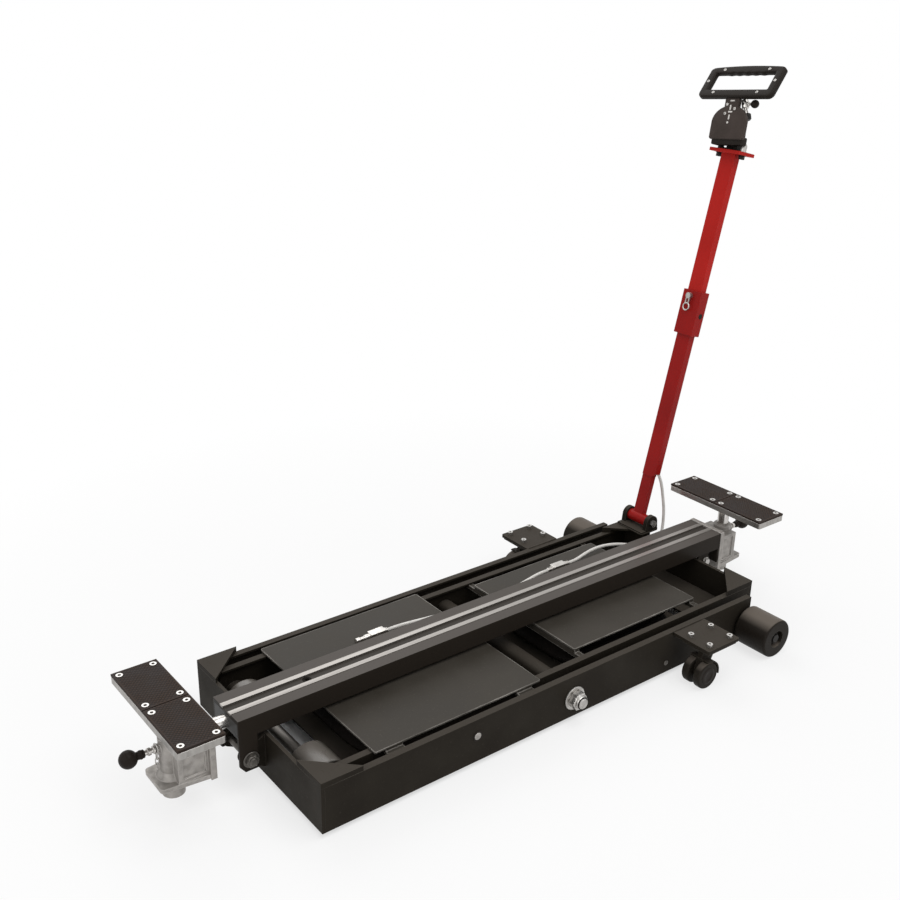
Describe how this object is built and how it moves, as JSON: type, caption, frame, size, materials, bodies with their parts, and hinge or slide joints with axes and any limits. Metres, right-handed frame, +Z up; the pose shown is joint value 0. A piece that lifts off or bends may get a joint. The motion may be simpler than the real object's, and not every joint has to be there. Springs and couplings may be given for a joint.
{
  "type": "pneumatic scissor jack",
  "caption": "Low trolley jack: crossed frames opened by air bags lift a level beam with sliding arms, swivel saddles, floor wheels and a pull handle with a control grip.",
  "frame": {"origin": "on the floor under the middle of the overall box", "axes": "+Z up, +X towards the handle end, -Y the near long side"},
  "size_m": [1.7774, 0.708, 1.2911],
  "materials": {
    "black_paint": "satin black powder coat",
    "panel_paint": "satin black powder coat, lighter where it faces the light",
    "beam_paint": "gloss black paint with a grey worn top",
    "bright_strip": "bright drawn strip",
    "machined_steel": "turned and ground",
    "bright_zinc": "bright zinc plate",
    "guide_plastic": "machined bearing plastic",
    "grey_casting": "cast, painted silver grey",
    "saddle_aluminium": "sawn plate",
    "black_rubber": "moulded with a fine grid",
    "roller_nylon": "solid turned nylon",
    "black_plastic": "moulded",
    "red_paint": "gloss red paint",
    "fitting_metal": "nickel plate",
    "pale_hose": "smooth drawn hose"
  },
  "bodies": {
    "axle": {"axle_bar": "black_paint"},
    "wheel_near": {"floor_wheel_near": "roller_nylon"},
    "wheel_far": {"floor_wheel_far": "roller_nylon"},
    "inner_frame": {"inner_rail_near": "black_paint", "inner_rail_far": "black_paint", "inner_end_plate": "black_paint", "inner_gussets": "black_paint", "inner_tray": "black_paint", "centre_tube": "black_paint", "right_panel": "panel_paint", "handle_lugs": "black_paint", "handle_bolt": "bright_zinc", "right_fittings": "fitting_metal", "left_air_bag": "black_rubber", "right_hose": "pale_hose", "left_hose": "pale_hose"},
    "outer_frame": {"outer_rail_near": "black_paint", "outer_rail_far": "black_paint", "outer_end_plate": "black_paint", "outer_gussets": "black_paint", "outer_tray": "black_paint", "left_panel": "panel_paint", "castor_brackets": "black_paint", "castor_bolts": "bright_zinc", "roller_axles": "bright_zinc", "pivot_studs": "bright_zinc", "pivot_nuts": "bright_zinc", "left_fitting": "fitting_metal", "right_air_bag": "black_rubber"},
    "roller_near": {"floor_roller_near": "roller_nylon"},
    "roller_far": {"floor_roller_far": "roller_nylon"},
    "slide_rollers": {"slide_rollers": "machined_steel"},
    "castor_near": {"castor_fork_near": "black_paint"},
    "castor_far": {"castor_fork_far": "black_paint"},
    "castor_wheels_near": {"castor_wheels_near": "roller_nylon"},
    "castor_wheels_far": {"castor_wheels_far": "roller_nylon"},
    "beam": {"beam_profile": "beam_paint", "beam_strips": "bright_strip", "beam_pivot_bolt": "bright_zinc", "arm_guides": "guide_plastic"},
    "left_arm": {"left_arm": "machined_steel", "left_bracket": "grey_casting"},
    "right_arm": {"right_arm": "machined_steel", "right_bracket": "grey_casting"},
    "left_post": {"left_post": "machined_steel"},
    "right_post": {"right_post": "machined_steel"},
    "left_saddle": {"left_saddle_plate": "saddle_aluminium", "left_saddle_pads": "black_rubber"},
    "right_saddle": {"right_saddle_plate": "saddle_aluminium", "right_saddle_pads": "black_rubber"},
    "left_plunger": {"left_plunger": "black_plastic"},
    "right_plunger": {"right_plunger": "black_plastic"},
    "handle": {"handle_lower": "red_paint", "handle_upper": "red_paint", "control_head": "black_plastic", "handle_hose": "pale_hose"},
    "locking_pin": {"locking_pin": "bright_zinc"},
    "control_grip": {"control_grip": "black_plastic", "air_valve": "fitting_metal"},
    "valve_knob": {"valve_knob": "black_plastic"}
  },
  "joints": [
    {"name": "lift", "type": "hinge", "parent": "axle", "child": "inner_frame", "pos_m": [-0.5532, 0, 0.047], "axis": [0, -1, 0], "range_deg": [0, 20]},
    {"name": "outer_pivot", "type": "hinge", "parent": "inner_frame", "child": "outer_frame", "pos_m": [0.0058, 0, 0.058], "axis": [0, -1, 0], "range_deg": [-40, 0], "deforming": ["left_air_bag", "right_air_bag", "left_hose"]},
    {"name": "beam_pivot", "type": "hinge", "parent": "outer_frame", "child": "beam", "pos_m": [-0.6522, 0, 0.072], "axis": [0, -1, 0], "range_deg": [0, 20]},
    {"name": "wheel_near_spin", "type": "hinge", "parent": "axle", "child": "wheel_near", "pos_m": [-0.5532, -0.13, 0.047], "axis": [0, 1, 0], "continuous": true},
    {"name": "roller_near_spin", "type": "hinge", "parent": "outer_frame", "child": "roller_near", "pos_m": [0.5648, -0.3, 0.047], "axis": [0, 1, 0], "continuous": true},
    {"name": "castor_near_swivel", "type": "hinge", "parent": "outer_frame", "child": "castor_near", "pos_m": [0.3568, -0.313, 0.094], "axis": [0, 0, 1], "continuous": true},
    {"name": "castor_near_roll", "type": "hinge", "parent": "castor_near", "child": "castor_wheels_near", "pos_m": [0.3328, -0.313, 0.032], "axis": [0, 1, 0], "continuous": true},
    {"name": "wheel_far_spin", "type": "hinge", "parent": "axle", "child": "wheel_far", "pos_m": [-0.5532, 0.13, 0.047], "axis": [0, 1, 0], "continuous": true},
    {"name": "roller_far_spin", "type": "hinge", "parent": "outer_frame", "child": "roller_far", "pos_m": [0.5648, 0.3, 0.047], "axis": [0, 1, 0], "continuous": true},
    {"name": "castor_far_swivel", "type": "hinge", "parent": "outer_frame", "child": "castor_far", "pos_m": [0.3568, 0.313, 0.094], "axis": [0, 0, 1], "continuous": true},
    {"name": "castor_far_roll", "type": "hinge", "parent": "castor_far", "child": "castor_wheels_far", "pos_m": [0.3328, 0.313, 0.032], "axis": [0, 1, 0], "continuous": true},
    {"name": "slide_roll", "type": "hinge", "parent": "inner_frame", "child": "slide_rollers", "pos_m": [0.6638, 0, 0.14], "axis": [0, 1, 0], "continuous": true},
    {"name": "left_arm_slide", "type": "slide", "parent": "beam", "child": "left_arm", "axis": [-1, 0, 0], "range_m": [-0.042, 0.16]},
    {"name": "left_post_lift", "type": "slide", "parent": "left_arm", "child": "left_post", "axis": [0, 0, 1], "range_m": [0, 0.07]},
    {"name": "left_saddle_swivel", "type": "hinge", "parent": "left_post", "child": "left_saddle", "pos_m": [-0.7902, 0, 0.21], "axis": [0, 0, 1], "continuous": true},
    {"name": "left_plunger_pull", "type": "slide", "parent": "left_arm", "child": "left_plunger", "axis": [-1, 0, 0], "range_m": [0, 0.006], "stiffness_N_per_m": 800, "springref_m": -0.003},
    {"name": "right_arm_slide", "type": "slide", "parent": "beam", "child": "right_arm", "axis": [1, 0, 0], "range_m": [0, 0.16]},
    {"name": "right_post_lift", "type": "slide", "parent": "right_arm", "child": "right_post", "axis": [0, 0, 1], "range_m": [0, 0.07]},
    {"name": "right_saddle_swivel", "type": "hinge", "parent": "right_post", "child": "right_saddle", "pos_m": [0.7618, 0, 0.21], "axis": [0, 0, 1], "continuous": true},
    {"name": "right_plunger_pull", "type": "slide", "parent": "right_arm", "child": "right_plunger", "axis": [1, 0, 0], "range_m": [0, 0.006], "stiffness_N_per_m": 800, "springref_m": -0.003},
    {"name": "handle_tilt", "type": "hinge", "parent": "inner_frame", "child": "handle", "pos_m": [0.6228, 0.163, 0.148], "axis": [0, -1, 0], "range_deg": [0, 60], "deforming": ["handle_hose"]},
    {"name": "locking_pin_pull", "type": "slide", "parent": "handle", "child": "locking_pin", "axis": [-0.9751, 0, 0.2215], "range_m": [0, 0.036]},
    {"name": "grip_swing", "type": "hinge", "parent": "handle", "child": "control_grip", "pos_m": [0.82485, 0.158, 1.12758], "axis": [0.9751, 0, -0.2215], "range_deg": [-7, 16], "stiffness_Nm_per_rad": 4},
    {"name": "valve_turn", "type": "hinge", "parent": "control_grip", "child": "valve_knob", "pos_m": [0.84222, 0.11191, 1.19955], "axis": [0.0182, -0.9966, 0.0799], "range_deg": [-120, 120]}
  ],
  "couplings": [
    {"joint": "outer_pivot", "follows": "lift", "ratio": -2},
    {"joint": "beam_pivot", "follows": "lift", "ratio": 1}
  ]
}
